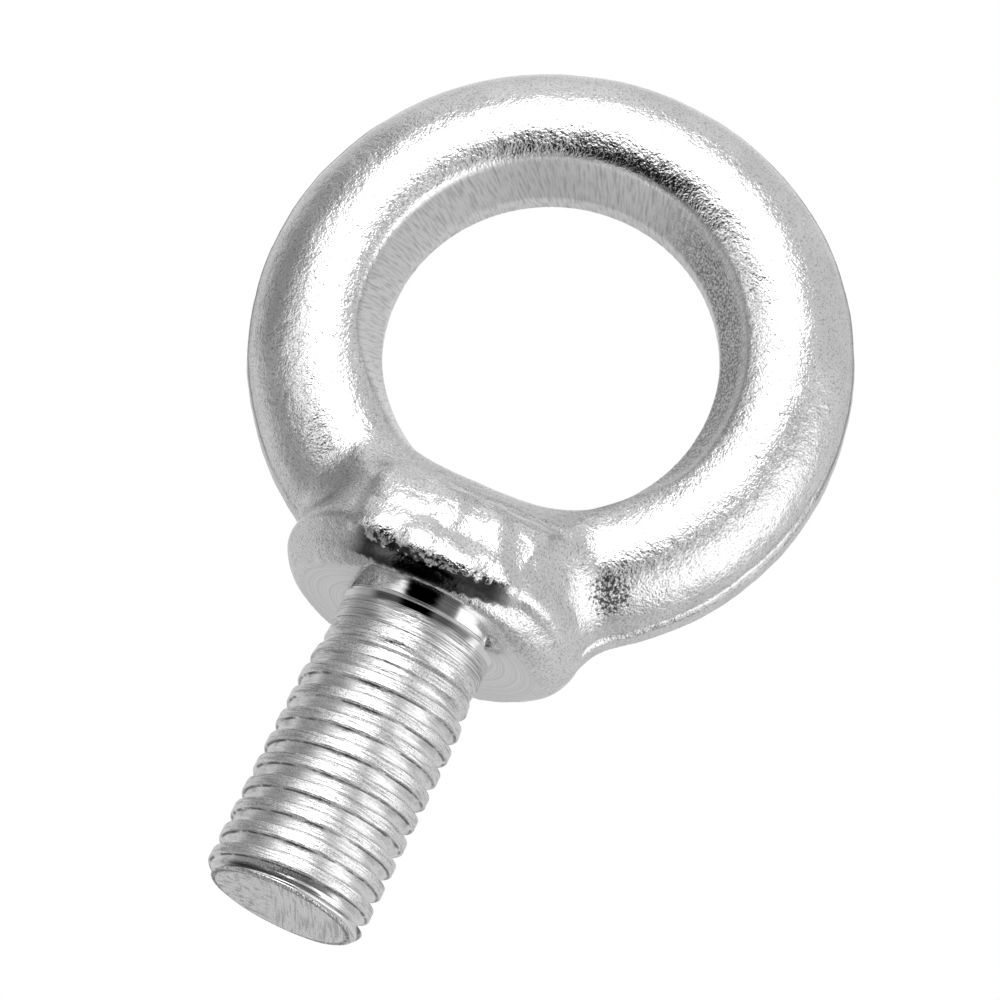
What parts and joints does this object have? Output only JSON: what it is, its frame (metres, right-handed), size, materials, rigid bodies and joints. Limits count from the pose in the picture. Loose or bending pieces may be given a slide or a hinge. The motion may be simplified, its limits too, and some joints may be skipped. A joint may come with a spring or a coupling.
{
  "type": "shoulder eye bolt",
  "caption": "Forged lifting eye bolt: round-bar ring eye on a rounded hub and collar with a flat seat, above a short threaded shank.",
  "frame": {"origin": "centre of the collar's flat seat, on the thread axis", "axes": "+Z along the thread axis from the seat towards the eye, Y along the axis of the eye's bore, X across the ring"},
  "size_m": [0.0414, 0.021, 0.0636],
  "materials": {
    "forged_zinc": "bright zinc plating over a fine-grained forged skin",
    "turned_zinc": "bright zinc plating over turned surfaces",
    "thread_zinc": "bright zinc plating over a rolled thread"
  },
  "bodies": {
    "root": {"eye_ring": "forged_zinc", "hub": "forged_zinc", "collar": "forged_zinc", "neck": "turned_zinc", "threaded_shank": "thread_zinc"}
  },
  "joints": []
}
